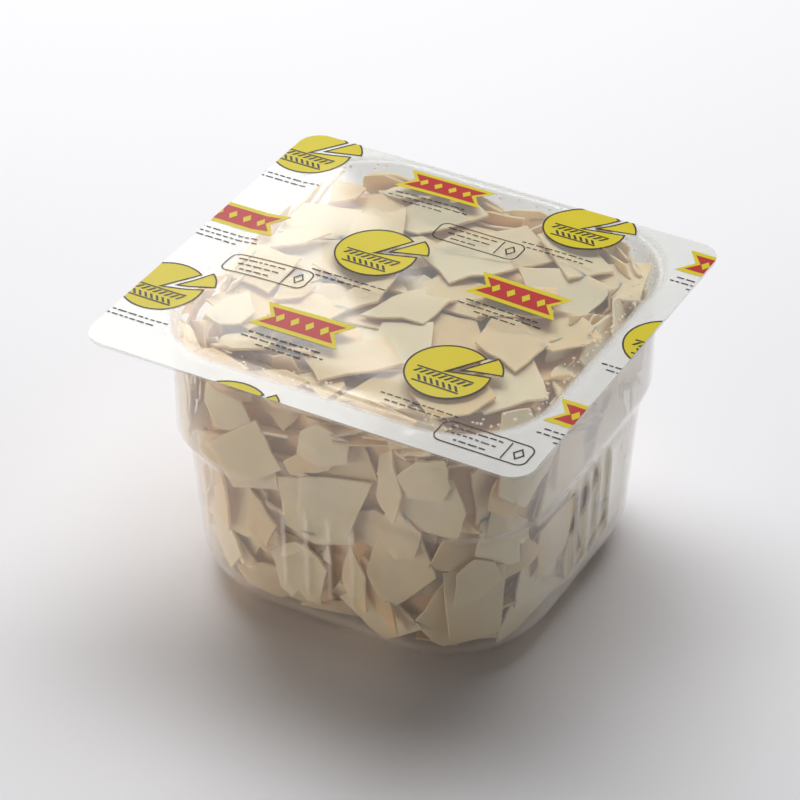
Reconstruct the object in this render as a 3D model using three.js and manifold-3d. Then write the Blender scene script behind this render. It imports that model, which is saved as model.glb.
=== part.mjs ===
// Sealed clear tub of hard-cheese flakes, in millimetres, +Z up.
// The origin is on the surface the tub stands on, under the middle of its flange.
// Three pieces: the thermoformed tray with its flange, the heap of flakes that fills it,
// and the thin film that is sealed on the flange.

import * as THREE from 'three';
import { mergeVertices } from 'three/addons/utils/BufferGeometryUtils.js';
import Module from 'manifold-3d';

const wasm = await Module();
wasm.setup();

// ---- driving dimensions ----
const FLANGE_WIDTH = 175; // along X
const FLANGE_DEPTH = 161; // along Y
const FLANGE_CORNER = 9;
const FLANGE_TOP = 115; // height of the sealing face
const SHEET = 0.8; // thickness of the formed sheet

// the tub hangs off centre in its flange: the flange is trimmed narrow at the back
const TUB_X = 1.2;
const TUB_Y = 4.5;

// outside of the tub just under the flange
const RIM_HALF_X = 73.6;
const RIM_HALF_Y = 72.9;
const RIM_CORNER = 34;
const LIP_RADIUS = 2; // the bend from flange to wall

// the stacking step, below which the tub is narrower and rounder at its corners
const STEP_TOP = 70;
const STEP_BOTTOM = 62;
const STEP_INSET = 1.3;
const BELOW_STEP_CORNER = 41;
const LOWER_DRAFT = 0.03; // how much narrower for each mm down
const BASE_BEND = 20; // radius of the bend from wall to base
const BASE_CORNER = 45;

// upright ribs in the middle of each wall, below the step
const RIBS_PER_WALL = 4;
const RIB_PITCH = 9.3;
const RIB_WIDTH = 5.4;
const RIB_HEIGHT = 1.3;
const RIB_FADE = 5; // height over which a rib runs out at each end

// the film
const FILM_THICKNESS = 0.3;
const SEAL_GAP = 0.3;
const FILM_CROWN = 2.6; // how far the flakes push the film up in the middle
const FILM_RIPPLE = 0.35;
const FILM_SCALES = [0.18, 0.4, 0.6, 0.76, 0.84, 0.9, 1]; // its rings, as shares of the outline
const FILM_SIDE_POINTS = 9;
const FILM_CORNER_POINTS = 3;

// the flakes
const FLAKE_THICKNESS = 2.2;
const FLAKE_REACH = [12, 19]; // from a flake's middle to its corners
const FLAKE_STRETCH = [0.75, 1.2]; // longer one way than the other
const WALL_ROWS = [12, 30, 48, 66, 84, 101];
const WALL_SPACING = 33;
const WALL_LOOSE = { height: 9, depth: 1.6, tip: 0.32 }; // how unevenly they lie, in mm and radians
const TOP_PITCH = 25;
const TOP_LOOSE = { height: 4, tip: 0.42 };
const FLOOR_PITCH = 27;
const FLOOR_LOOSE = { height: 0.8, tip: 0.05 };
const CORE_INSET = 5.5; // from the inside of the tray to the heap's solid core
const CORE_TOP = 109;
const TOP_LAYER = CORE_TOP + 3;
const CORE_BOTTOM = 3;
const FLAKE_CLEARANCE = 0.5; // from the flakes to the tray and the film
const MERGE_WITHIN = 0.25; // slivers smaller than this are taken out of the fused heap
const SEED = 11;

const CORNER_STEPS = 6; // faces in a quarter turn of the tub's corners

// ---- small helpers ----

// repeatable random numbers in 0..1
function makeRandom(seed) {
  let state = seed >>> 0;
  return () => {
    state = (state + 0x6d2b79f5) >>> 0;
    let t = state;
    t = Math.imul(t ^ (t >>> 15), t | 1);
    t ^= t + Math.imul(t ^ (t >>> 7), t | 61);
    return ((t ^ (t >>> 14)) >>> 0) / 4294967296;
  };
}

function smoothStep(t) {
  const c = Math.min(1, Math.max(0, t));
  return c * c * (3 - 2 * c);
}

// Half sizes and corner radius of the tub's section at height z, moved inward by a distance.
function wallSection(z, inward) {
  let halfX = RIM_HALF_X;
  let halfY = RIM_HALF_Y;
  let corner = RIM_CORNER;
  const step = smoothStep((STEP_TOP - z) / (STEP_TOP - STEP_BOTTOM));
  const below = Math.max(0, STEP_BOTTOM - Math.max(z, BASE_BEND));
  const towardsBase = below / (STEP_BOTTOM - BASE_BEND);
  const inset = STEP_INSET * step + LOWER_DRAFT * below + inward;
  halfX -= inset;
  halfY -= inset;
  corner += (BELOW_STEP_CORNER - RIM_CORNER) * step;
  corner += (BASE_CORNER - BELOW_STEP_CORNER) * towardsBase - inward;
  if (z < BASE_BEND) {
    const bend = BASE_BEND - inward;
    const drop = Math.min(bend, BASE_BEND - z);
    const pull = bend - Math.sqrt(bend * bend - drop * drop);
    halfX -= pull;
    halfY -= pull;
    corner -= pull;
  }
  return { halfX, halfY, corner };
}

// Heights of the rings that make the bend from base to wall, for a surface that starts at a height.
function bendHeights(bottom) {
  return [0, 0.03, 0.13, 0.31, 0.58, 1].map((t) => bottom + t * (BASE_BEND - bottom));
}

// How far the ribs stand out at height z, 0..1.
function ribStrength(z) {
  const up = (z - BASE_BEND) / RIB_FADE;
  const down = (STEP_BOTTOM - z) / RIB_FADE;
  return smoothStep(Math.min(up, down));
}

// One closed ring of points round the tub. Each straight side carries the points of its ribs,
// so every ring has the same number of points in the same order.
function ring(section, z, centre, ribOut = 0, withRibs = true) {
  const { halfX, halfY, corner } = section;
  const points = [];
  const sides = [
    { along: [0, 1], out: [1, 0], reach: halfX, middle: halfY - corner },
    { along: [-1, 0], out: [0, 1], reach: halfY, middle: halfX - corner },
    { along: [0, -1], out: [-1, 0], reach: halfX, middle: halfY - corner },
    { along: [1, 0], out: [0, -1], reach: halfY, middle: halfX - corner },
  ];
  for (const { along, out, reach, middle } of sides) {
    const place = (s, stand) => {
      const x = centre[0] + along[0] * s + out[0] * (reach + stand);
      const y = centre[1] + along[1] * s + out[1] * (reach + stand);
      points.push(new THREE.Vector3(x, y, z));
    };
    if (withRibs) {
      for (let rib = 0; rib < RIBS_PER_WALL; rib++) {
        const mid = (rib - (RIBS_PER_WALL - 1) / 2) * RIB_PITCH;
        place(mid - RIB_WIDTH / 2, 0);
        place(mid - RIB_WIDTH / 5, ribOut);
        place(mid + RIB_WIDTH / 5, ribOut);
        place(mid + RIB_WIDTH / 2, 0);
      }
    }
    for (let k = 0; k <= CORNER_STEPS; k++) {
      const turn = (Math.PI / 2) * (k / CORNER_STEPS);
      const s = middle + corner * Math.sin(turn);
      place(s, corner * (Math.cos(turn) - 1));
    }
  }
  return points;
}

// Stitches rings of equal length into a closed surface, with a fan at each end.
// The rings run so that the stitched faces look outward when they go from the first
// ring's fan to the last one's with the body on the left.
function stitchRings(rings, startPoint, endPoint) {
  const count = rings[0].length;
  const positions = [];
  rings.forEach((points) => points.forEach((p) => positions.push(p.x, p.y, p.z)));
  const start = rings.length * count;
  positions.push(startPoint.x, startPoint.y, startPoint.z);
  positions.push(endPoint.x, endPoint.y, endPoint.z);
  const index = [];
  for (let k = 0; k < count; k++) {
    const next = (k + 1) % count;
    index.push(start, next, k);
    for (let r = 0; r + 1 < rings.length; r++) {
      const a = r * count + k;
      const b = r * count + next;
      const c = (r + 1) * count + next;
      const d = (r + 1) * count + k;
      index.push(a, b, c, a, c, d);
    }
    const last = (rings.length - 1) * count;
    index.push(start + 1, last + k, last + next);
  }
  const geometry = new THREE.BufferGeometry();
  geometry.setAttribute('position', new THREE.Float32BufferAttribute(positions, 3));
  geometry.setIndex(index);
  return geometry;
}

function toSolid(geometry) {
  const bare = geometry.clone();
  bare.deleteAttribute('normal');
  bare.deleteAttribute('uv');
  const merged = mergeVertices(bare, 1e-4);
  const mesh = new wasm.Mesh({
    numProp: 3,
    vertProperties: new Float32Array(merged.attributes.position.array),
    triVerts: new Uint32Array(merged.index.array),
  });
  return new wasm.Manifold(mesh);
}

// The largest closed shell of a solid: loose scraps and sealed hollows are left behind.
function largestShell(solid) {
  const { vertProperties, triVerts } = solid.getMesh();
  const parent = Array.from({ length: vertProperties.length / 3 }, (_, i) => i);
  const root = (i) => {
    while (parent[i] !== i) {
      parent[i] = parent[parent[i]];
      i = parent[i];
    }
    return i;
  };
  for (let t = 0; t < triVerts.length; t += 3) {
    parent[root(triVerts[t])] = root(triVerts[t + 1]);
    parent[root(triVerts[t + 1])] = root(triVerts[t + 2]);
  }
  const shells = new Map();
  for (let t = 0; t < triVerts.length; t += 3) {
    const key = root(triVerts[t]);
    if (!shells.has(key)) shells.set(key, []);
    shells.get(key).push(triVerts[t], triVerts[t + 1], triVerts[t + 2]);
  }
  let best = [];
  for (const triangles of shells.values()) {
    if (triangles.length > best.length) best = triangles;
  }
  const geometry = new THREE.BufferGeometry();
  geometry.setAttribute('position', new THREE.Float32BufferAttribute(vertProperties, 3));
  geometry.setIndex(best);
  return geometry;
}

function named(name, geometry, material) {
  const mesh = new THREE.Mesh(geometry, material);
  mesh.name = name;
  return mesh;
}

// ---- the tray: tub and flange in one formed sheet, open at the top ----
function buildTray() {
  const tub = [TUB_X, TUB_Y];
  const wallRing = (z, inward) => ring(wallSection(z, inward), z, tub, RIB_HEIGHT * ribStrength(z));
  const rimRing = (z, grow) => ring(wallSection(z, -grow), z, tub);
  const edge = { halfX: FLANGE_WIDTH / 2, halfY: FLANGE_DEPTH / 2, corner: FLANGE_CORNER };
  const edgeRing = (z) => flangeEdge(edge, z);
  const wallHeights = [BASE_BEND + RIB_FADE, STEP_BOTTOM - RIB_FADE, STEP_BOTTOM];
  wallHeights.push((STEP_TOP + STEP_BOTTOM) / 2, STEP_TOP);
  const under = FLANGE_TOP - SHEET;

  const rings = [];
  [...bendHeights(0), ...wallHeights].forEach((z) => rings.push(wallRing(z, 0)));
  // the outer bend under the flange, out to the flange's edge and back over its top
  rings.push(rimRing(under - LIP_RADIUS, 0));
  rings.push(rimRing(under - LIP_RADIUS * 0.3, LIP_RADIUS * 0.3));
  rings.push(rimRing(under, LIP_RADIUS));
  rings.push(edgeRing(under));
  rings.push(edgeRing(FLANGE_TOP));
  rings.push(rimRing(FLANGE_TOP, LIP_RADIUS));
  rings.push(rimRing(FLANGE_TOP - LIP_RADIUS * 0.3, LIP_RADIUS * 0.3 - SHEET * 0.6));
  rings.push(rimRing(FLANGE_TOP - LIP_RADIUS - SHEET, -SHEET));
  // down the inside
  const inside = [...bendHeights(SHEET), ...wallHeights].reverse();
  inside.forEach((z) => rings.push(wallRing(z, SHEET)));

  const baseMiddle = new THREE.Vector3(TUB_X, TUB_Y, 0);
  const floorMiddle = new THREE.Vector3(TUB_X, TUB_Y, SHEET);
  return stitchRings(rings, baseMiddle, floorMiddle);
}

// The flange's outline is centred on the origin, but its points on the straight sides stand
// level with those of the tub's rings.
function flangeEdge(section, z) {
  const points = ring(section, z, [0, 0]);
  const perSide = points.length / 4;
  const ribPoints = RIBS_PER_WALL * 4;
  points.forEach((p, i) => {
    if (i % perSide >= ribPoints) return;
    const alongY = Math.floor(i / perSide) % 2 === 0;
    if (alongY) p.y += TUB_Y;
    else p.x += TUB_X;
  });
  return points;
}

// ---- the film: flat on the flange, pushed up a little by the flakes inside the rim ----
function filmRise(x, y) {
  const u = (x - TUB_X) / (RIM_HALF_X - 2);
  const v = (y - TUB_Y) / (RIM_HALF_Y - 2);
  const fall = Math.max(0, 1 - u ** 4) * Math.max(0, 1 - v ** 4);
  const ripple = Math.sin(x / 11 + Math.sin(y / 17)) * Math.sin(y / 13 + 0.6);
  return FILM_CROWN * Math.sqrt(fall) + FILM_RIPPLE * ripple * fall;
}

function filmRing(scale, z) {
  const shape = { halfX: FLANGE_WIDTH / 2, halfY: FLANGE_DEPTH / 2, corner: FLANGE_CORNER };
  const points = [];
  const sides = [
    [1, 0, 0, 1],
    [0, 1, -1, 0],
    [-1, 0, 0, -1],
    [0, -1, 1, 0],
  ];
  for (const [ox, oy, ax, ay] of sides) {
    const reach = ox !== 0 ? shape.halfX : shape.halfY;
    const span = (ox !== 0 ? shape.halfY : shape.halfX) - shape.corner;
    for (let k = 0; k < FILM_SIDE_POINTS; k++) {
      const s = -span + (2 * span * k) / FILM_SIDE_POINTS;
      points.push([ox * reach + ax * s, oy * reach + ay * s]);
    }
    for (let k = 0; k < FILM_CORNER_POINTS; k++) {
      const angle = ((k / FILM_CORNER_POINTS) * Math.PI) / 2;
      const s = span + shape.corner * Math.sin(angle);
      const out = reach - shape.corner * (1 - Math.cos(angle));
      points.push([ox * out + ax * s, oy * out + ay * s]);
    }
  }
  return points.map(([x, y]) => {
    const inner = [x * scale, y * scale];
    return new THREE.Vector3(...inner, z + filmRise(...inner));
  });
}

function buildFilm() {
  const bottom = FLANGE_TOP + SEAL_GAP;
  const top = bottom + FILM_THICKNESS;
  const rings = FILM_SCALES.map((s) => filmRing(s, bottom));
  [...FILM_SCALES].reverse().forEach((s) => rings.push(filmRing(s, top)));
  const under = new THREE.Vector3(0, 0, bottom + filmRise(0, 0));
  const over = new THREE.Vector3(0, 0, top + filmRise(0, 0));
  return stitchRings(rings, under, over);
}

// ---- the flakes: a solid core with the flakes that show against wall and film fused on ----

// An angular flake: four to six uneven corners, a flat plate with its middle at its origin.
function flakeGeometry(random) {
  const corners = 4 + Math.floor(random() * 2.4);
  const shape = new THREE.Shape();
  const stretch = FLAKE_STRETCH[0] + (FLAKE_STRETCH[1] - FLAKE_STRETCH[0]) * random();
  for (let k = 0; k < corners; k++) {
    const angle = ((k + 0.6 * (random() - 0.5)) / corners) * Math.PI * 2;
    const reach = FLAKE_REACH[0] + (FLAKE_REACH[1] - FLAKE_REACH[0]) * random();
    const x = Math.cos(angle) * reach * stretch;
    const y = (Math.sin(angle) * reach) / stretch;
    if (k === 0) shape.moveTo(x, y);
    else shape.lineTo(x, y);
  }
  shape.closePath();
  const geometry = new THREE.ExtrudeGeometry(shape, { depth: FLAKE_THICKNESS, bevelEnabled: false });
  geometry.translate(0, 0, -FLAKE_THICKNESS / 2);
  return geometry;
}

// Where a walk round the section has got to, and which way is outward there.
function pointOnSection(section, distance) {
  const { halfX, halfY, corner } = section;
  const arc = (Math.PI / 2) * corner;
  const lengths = [2 * (halfY - corner), arc, 2 * (halfX - corner), arc];
  const perimeter = 2 * lengths.reduce((sum, length) => sum + length, 0);
  let left = ((distance % perimeter) + perimeter) % perimeter;
  let turn = 0;
  for (let piece = 0; piece < 8; piece++) {
    const length = lengths[piece % 4];
    const straight = piece % 2 === 0;
    const facingX = piece % 4 === 0;
    if (left <= length) {
      const angle = turn + (straight ? 0 : left / corner);
      const out = new THREE.Vector3(Math.cos(angle), Math.sin(angle), 0);
      if (!straight) {
        const quarter = turn + Math.PI / 4;
        const cx = Math.sign(Math.cos(quarter)) * (halfX - corner);
        const cy = Math.sign(Math.sin(quarter)) * (halfY - corner);
        const point = new THREE.Vector3(cx + out.x * corner, cy + out.y * corner, 0);
        return { point, out, perimeter };
      }
      const reach = facingX ? halfX : halfY;
      const s = left - length / 2;
      const along = new THREE.Vector3(-out.y, out.x, 0);
      const point = out.clone().multiplyScalar(reach).addScaledVector(along, s);
      return { point, out, perimeter };
    }
    left -= length;
    if (!straight) turn += Math.PI / 2;
  }
  return pointOnSection(section, 0);
}

// A flake turned so that its flat faces along a direction, tipped and spun at random.
function placeFlake(random, position, facing, tip) {
  const geometry = flakeGeometry(random);
  const spin = new THREE.Quaternion().setFromAxisAngle(new THREE.Vector3(0, 0, 1), random() * Math.PI * 2);
  const face = new THREE.Quaternion().setFromUnitVectors(new THREE.Vector3(0, 0, 1), facing);
  const axis = new THREE.Vector3(random() - 0.5, random() - 0.5, random() - 0.5).normalize();
  const lean = new THREE.Quaternion().setFromAxisAngle(axis, tip * (2 * random() - 1));
  geometry.applyQuaternion(lean.multiply(face).multiply(spin));
  geometry.translate(position.x, position.y, position.z);
  return toSolid(geometry);
}

// The room inside the tray from one height to another, moved in from the wall by a clearance.
function roomInside(clearance, low, top) {
  const tub = [TUB_X, TUB_Y];
  const inward = SHEET + clearance;
  const heights = [...bendHeights(low), STEP_BOTTOM, STEP_TOP, top];
  const rings = heights.map((z) => ring(wallSection(z, inward), z, tub, 0, false));
  const floor = new THREE.Vector3(TUB_X, TUB_Y, low);
  return stitchRings(rings, floor, new THREE.Vector3(TUB_X, TUB_Y, top));
}

// All that lies lower than the film, less a clearance.
function roomUnderFilm(clearance) {
  const height = FLANGE_TOP + SEAL_GAP - clearance;
  const floorRing = filmRing(1, 0).map((p) => new THREE.Vector3(p.x, p.y, -SHEET));
  const rings = [floorRing];
  [...FILM_SCALES].reverse().forEach((s) => rings.push(filmRing(s, height)));
  const middle = new THREE.Vector3(0, 0, height + filmRise(0, 0));
  return stitchRings(rings, new THREE.Vector3(0, 0, -SHEET), middle);
}

function buildFlakes() {
  const random = makeRandom(SEED);
  let heap = toSolid(roomInside(CORE_INSET, CORE_BOTTOM, CORE_TOP));
  const solids = [];
  const inward = SHEET + FLAKE_CLEARANCE + FLAKE_THICKNESS / 2;

  // flakes pressed against the wall, row over row
  WALL_ROWS.forEach((height, row) => {
    const around = pointOnSection(wallSection(height, inward), 0).perimeter;
    const count = Math.round(around / WALL_SPACING);
    for (let k = 0; k < count; k++) {
      const distance = ((k + 0.5 * (row % 2) + 0.4 * (random() - 0.5)) / count) * around;
      const z = height + WALL_LOOSE.height * (random() - 0.5);
      const section = wallSection(z, inward + WALL_LOOSE.depth * random());
      const { point, out } = pointOnSection(section, distance);
      point.x += TUB_X;
      point.y += TUB_Y;
      point.z = z;
      const facing = out.clone();
      if (z < BASE_BEND) facing.z = -(BASE_BEND - z) / BASE_BEND;
      solids.push(placeFlake(random, point, facing.normalize(), WALL_LOOSE.tip));
    }
  });

  // flakes lying on the tray's floor, and on top under the film
  const level = new THREE.Vector3(0, 0, 1);
  const layLevel = (halfX, halfY, pitch, height, loose) => {
    const nx = Math.floor((2 * halfX) / pitch);
    const ny = Math.floor((2 * halfY) / pitch);
    for (let i = 0; i < nx * ny; i++) {
      const x = TUB_X + ((i % nx) - (nx - 1) / 2 + 0.5 * (random() - 0.5)) * pitch;
      const y = TUB_Y + (Math.floor(i / nx) - (ny - 1) / 2 + 0.5 * (random() - 0.5)) * pitch;
      const z = height + loose.height * random();
      solids.push(placeFlake(random, new THREE.Vector3(x, y, z), level, loose.tip));
    }
  };
  const base = wallSection(0, 0);
  layLevel(base.halfX, base.halfY, FLOOR_PITCH, inward, FLOOR_LOOSE);
  layLevel(RIM_HALF_X, RIM_HALF_Y, TOP_PITCH, TOP_LAYER, TOP_LOOSE);

  heap = wasm.Manifold.union([heap, ...solids]);
  const lowest = SHEET + FLAKE_CLEARANCE;
  const tubRoom = toSolid(roomInside(FLAKE_CLEARANCE, lowest, FLANGE_TOP + FILM_CROWN * 2));
  const filmRoom = toSolid(roomUnderFilm(FLAKE_CLEARANCE));
  return largestShell(heap.intersect(tubRoom).intersect(filmRoom).simplify(MERGE_WITHIN));
}

// ---- the pack ----
const clearSheet = new THREE.MeshStandardMaterial({
  color: 0xe9edf0,
  roughness: 0.08,
  metalness: 0,
  transparent: true,
  opacity: 0.3,
});
const printedFilm = new THREE.MeshStandardMaterial({
  color: 0xf2f2ee,
  roughness: 0.12,
  metalness: 0,
  transparent: true,
  opacity: 0.35,
});
const hardCheese = new THREE.MeshStandardMaterial({ color: 0xe8d6b4, roughness: 0.55, metalness: 0 });

const pack = new THREE.Group();
pack.add(named('tray', buildTray(), clearSheet));
pack.add(named('cheese_flakes', buildFlakes(), hardCheese));
pack.add(named('lid_film', buildFilm(), printedFilm));

export default pack;
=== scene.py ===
import math
import random

import bpy
import numpy as np
from mathutils import Matrix, Vector, noise


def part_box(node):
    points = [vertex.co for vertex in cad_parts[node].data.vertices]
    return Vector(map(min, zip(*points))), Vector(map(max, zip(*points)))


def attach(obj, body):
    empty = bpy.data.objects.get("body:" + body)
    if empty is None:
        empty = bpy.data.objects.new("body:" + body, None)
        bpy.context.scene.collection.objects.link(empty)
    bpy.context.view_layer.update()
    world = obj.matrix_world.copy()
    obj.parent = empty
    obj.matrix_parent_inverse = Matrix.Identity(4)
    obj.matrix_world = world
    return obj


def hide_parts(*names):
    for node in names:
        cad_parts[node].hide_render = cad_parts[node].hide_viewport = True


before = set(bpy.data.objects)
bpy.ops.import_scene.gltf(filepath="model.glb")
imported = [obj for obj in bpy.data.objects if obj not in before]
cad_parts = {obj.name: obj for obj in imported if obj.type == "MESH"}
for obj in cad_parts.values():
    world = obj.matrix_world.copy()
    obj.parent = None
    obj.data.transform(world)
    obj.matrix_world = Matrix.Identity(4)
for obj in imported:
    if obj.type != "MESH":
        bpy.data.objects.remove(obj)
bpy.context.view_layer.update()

# ---- The tub ---------------------------------------------------------------------------
# One sheet of clear PET, heated and drawn down into a mould. It is square with round
# corners, has a stacking step a little above half its height and four ribs pressed into
# each wall, and ends in a flat flange that the film is sealed on.

MM = 0.001  # sizes are in millimetres, and Blender reckons in metres
tray_low, tray_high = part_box("tray")
FLANGE_HALF_X = (tray_high.x - tray_low.x) / 2 / MM
FLANGE_HALF_Y = (tray_high.y - tray_low.y) / 2 / MM
FLANGE_TOP = tray_high.z / MM
FLANGE_CORNER = 9.0
SHEET = 0.8  # thickness of the formed sheet
TUB_X = 1.2  # the tub hangs off centre in its flange
TUB_Y = 4.5
RIM_HALF_X = 73.6
RIM_HALF_Y = 72.9
RIM_CORNER = 34.0
LIP_RADIUS = 2.0  # the bend from flange to wall
STEP_TOP = 70.0
STEP_BOTTOM = 62.0
STEP_INSET = 1.3
BELOW_STEP_CORNER = 41.0
LOWER_DRAFT = 0.03  # how much narrower for each millimetre down
BASE_BEND = 20.0  # the bend from wall to base
BASE_CORNER = 45.0
RIBS_PER_WALL = 4
RIB_PITCH = 9.3
RIB_WIDTH = 5.4
RIB_HEIGHT = 1.3
RIB_FADE = 5.0  # height over which a rib runs out at each end
RIB_POINTS = 7
CORNER_STEPS = 12
BEND_TURN = 9  # degrees from ring to ring in the base's bend
FADE_STEPS = 4
LIP_STEPS = 4
UPPER_RINGS = (20, 32)  # heights above the step
TUB_CREASE = 35  # degrees past which an edge stays sharp


def smooth_step(t):
    t = np.clip(t, 0, 1)
    return t * t * (3 - 2 * t)


def tub_section(z, inward=0.0):
    """Half sizes and corner radius of the tub's section at a height, moved inward."""
    step = smooth_step((STEP_TOP - z) / (STEP_TOP - STEP_BOTTOM))
    below = np.maximum(0, STEP_BOTTOM - np.maximum(z, BASE_BEND))
    inset = STEP_INSET * step + LOWER_DRAFT * below + inward
    corner = RIM_CORNER + (BELOW_STEP_CORNER - RIM_CORNER) * step - inward
    corner = corner + (BASE_CORNER - BELOW_STEP_CORNER) * below / (STEP_BOTTOM - BASE_BEND)
    bend = BASE_BEND - inward
    drop = np.clip(BASE_BEND - z, 0, bend)
    pull = bend - np.sqrt(bend * bend - drop * drop)
    return RIM_HALF_X - inset - pull, RIM_HALF_Y - inset - pull, corner - pull


def outline(half_x, half_y, corner, z, rib_height=0.0, slide=(TUB_X, TUB_Y)):
    """One ring of points round a square with round corners, with the ribs' points on
    each side."""
    points = []
    for side in range(4):
        reach, beside = (half_x, half_y) if side % 2 == 0 else (half_y, half_x)
        out = Vector((math.cos(side * math.pi / 2), math.sin(side * math.pi / 2)))
        along = Vector((-out.y, out.x))
        places = []
        for rib in range(RIBS_PER_WALL):
            middle = (rib - (RIBS_PER_WALL - 1) / 2) * RIB_PITCH
            for k in range(RIB_POINTS):
                t = k / (RIB_POINTS - 1) - 0.5
                rise = rib_height * math.cos(math.pi * t) ** 2
                places.append((middle + t * RIB_WIDTH, rise))
        for k in range(CORNER_STEPS + 1):
            turn = math.pi / 2 * k / CORNER_STEPS
            past = corner * math.sin(turn)
            places.append((beside - corner + past, corner * (math.cos(turn) - 1)))
        for s, stand in places:
            p = along * s + out * (reach + stand)
            points.append(Vector((p.x + slide[0], p.y + slide[1], z)))
    return points


def wall_outline(z):
    fade = min(z - BASE_BEND, STEP_BOTTOM - z) / RIB_FADE
    return outline(*tub_section(z), z, RIB_HEIGHT * float(smooth_step(fade)))


def flange_outline(z):
    """The flange is centred on the origin, but its points on the straight sides stand
    level with the tub's."""
    points = outline(FLANGE_HALF_X, FLANGE_HALF_Y, FLANGE_CORNER, z, slide=(0, 0))
    per_side = len(points) // 4
    for i, p in enumerate(points):
        if i % per_side < RIBS_PER_WALL * RIB_POINTS:
            if (i // per_side) % 2 == 0:
                p.y += TUB_Y
            else:
                p.x += TUB_X
    return points


def deselect_all():
    if bpy.context.mode != "OBJECT":
        bpy.ops.object.mode_set(mode="OBJECT")
    bpy.ops.object.select_all(action="DESELECT")


def apply_modifier(piece, kind, **settings):
    """Adds a modifier to a piece and applies it."""
    bpy.context.view_layer.objects.active = piece
    modifier = piece.modifiers.new(kind.title(), kind)
    for name, value in settings.items():
        setattr(modifier, name, value)
    bpy.ops.object.modifier_apply(modifier=modifier.name)


def extruded_shell(name, rings):
    """A sleeve of edges extruded ring by ring, each ring then laid on its own outline,
    and the first ring filled."""
    around = len(rings[0])
    lift = 1.0
    deselect_all()
    bpy.ops.mesh.primitive_circle_add(vertices=around, radius=1.0, fill_type="NOTHING")
    piece = bpy.context.object
    piece.name = name
    bpy.ops.object.mode_set(mode="EDIT")
    bpy.ops.mesh.select_all(action="SELECT")
    for _ in rings[1:]:
        bpy.ops.mesh.extrude_edges_move(TRANSFORM_OT_translate={"value": (0, 0, lift)})
    bpy.ops.object.mode_set(mode="OBJECT")
    for vertex in piece.data.vertices:
        ring = round(vertex.co.z / lift)
        vertex.select = ring == 0
        turn = math.atan2(vertex.co.x, vertex.co.y) % (2 * math.pi)
        step = round(turn * around / (2 * math.pi)) % around
        vertex.co = rings[ring][-step] * MM
    for edge in piece.data.edges:
        edge.select = all(piece.data.vertices[i].select for i in edge.vertices)
    bpy.ops.object.mode_set(mode="EDIT")
    bpy.ops.mesh.edge_face_add()
    bpy.ops.mesh.select_all(action="SELECT")
    bpy.ops.mesh.normals_make_consistent(inside=False)
    bpy.ops.object.mode_set(mode="OBJECT")
    base = min(piece.data.polygons, key=lambda face: face.center.z)
    if base.normal.z > 0:
        piece.data.flip_normals()
    return piece


bend_heights = [BASE_BEND * (1 - math.cos(math.radians(a))) for a in range(0, 90, BEND_TURN)]
fade_heights = [RIB_FADE * k / FADE_STEPS for k in range(FADE_STEPS + 1)]
wall_heights = [BASE_BEND + h for h in fade_heights]
wall_heights += [STEP_BOTTOM - h for h in reversed(fade_heights)]
wall_heights += [STEP_BOTTOM + k for k in range(1, round(STEP_TOP - STEP_BOTTOM) + 1)]
wall_heights += [STEP_TOP + height for height in UPPER_RINGS]
flange_under = FLANGE_TOP - SHEET
rings = [wall_outline(z) for z in bend_heights + wall_heights]
for k in range(LIP_STEPS + 1):
    turn = math.radians(90 * k / LIP_STEPS)
    z = flange_under - LIP_RADIUS + LIP_RADIUS * math.sin(turn)
    half_x, half_y, corner = tub_section(z, LIP_RADIUS * (math.cos(turn) - 1))
    rings.append(outline(half_x, half_y, corner, z))
rings.append(flange_outline(flange_under))

tub = extruded_shell("tub", rings)
apply_modifier(tub, "SOLIDIFY", thickness=SHEET * MM, offset=-1, use_even_offset=True)
bpy.ops.object.shade_smooth_by_angle(angle=math.radians(TUB_CREASE))


def linear(colour):
    """An sRGB hex colour as the linear values that Blender reckons with."""
    parts = [int(colour[i:i + 2], 16) / 255 for i in (1, 3, 5)]
    return [c / 12.92 if c <= 0.04045 else ((c + 0.055) / 1.055) ** 2.4 for c in parts] + [1]


def add_node(tree, kind, settings=None, inputs=None):
    """A node with its settings, and its inputs as values or as other nodes' outputs."""
    made = tree.nodes.new("ShaderNode" + kind)
    for name, value in (settings or {}).items():
        setattr(made, name, value)
    for socket, value in (inputs or {}).items():
        if isinstance(value, bpy.types.NodeSocket):
            tree.links.new(value, made.inputs[socket])
        else:
            made.inputs[socket].default_value = value
    return made


def new_material(name):
    material = bpy.data.materials.new(name)
    material.use_nodes = True
    material.node_tree.nodes.clear()
    return material, material.node_tree


# what a clear plastic face mirrors: a twentieth face on, and all of it at a grazing look
MIRROR_FACE_ON = 0.05
MIRROR_POWER = 4.0
HAZE_POWER = 2.0


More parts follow.
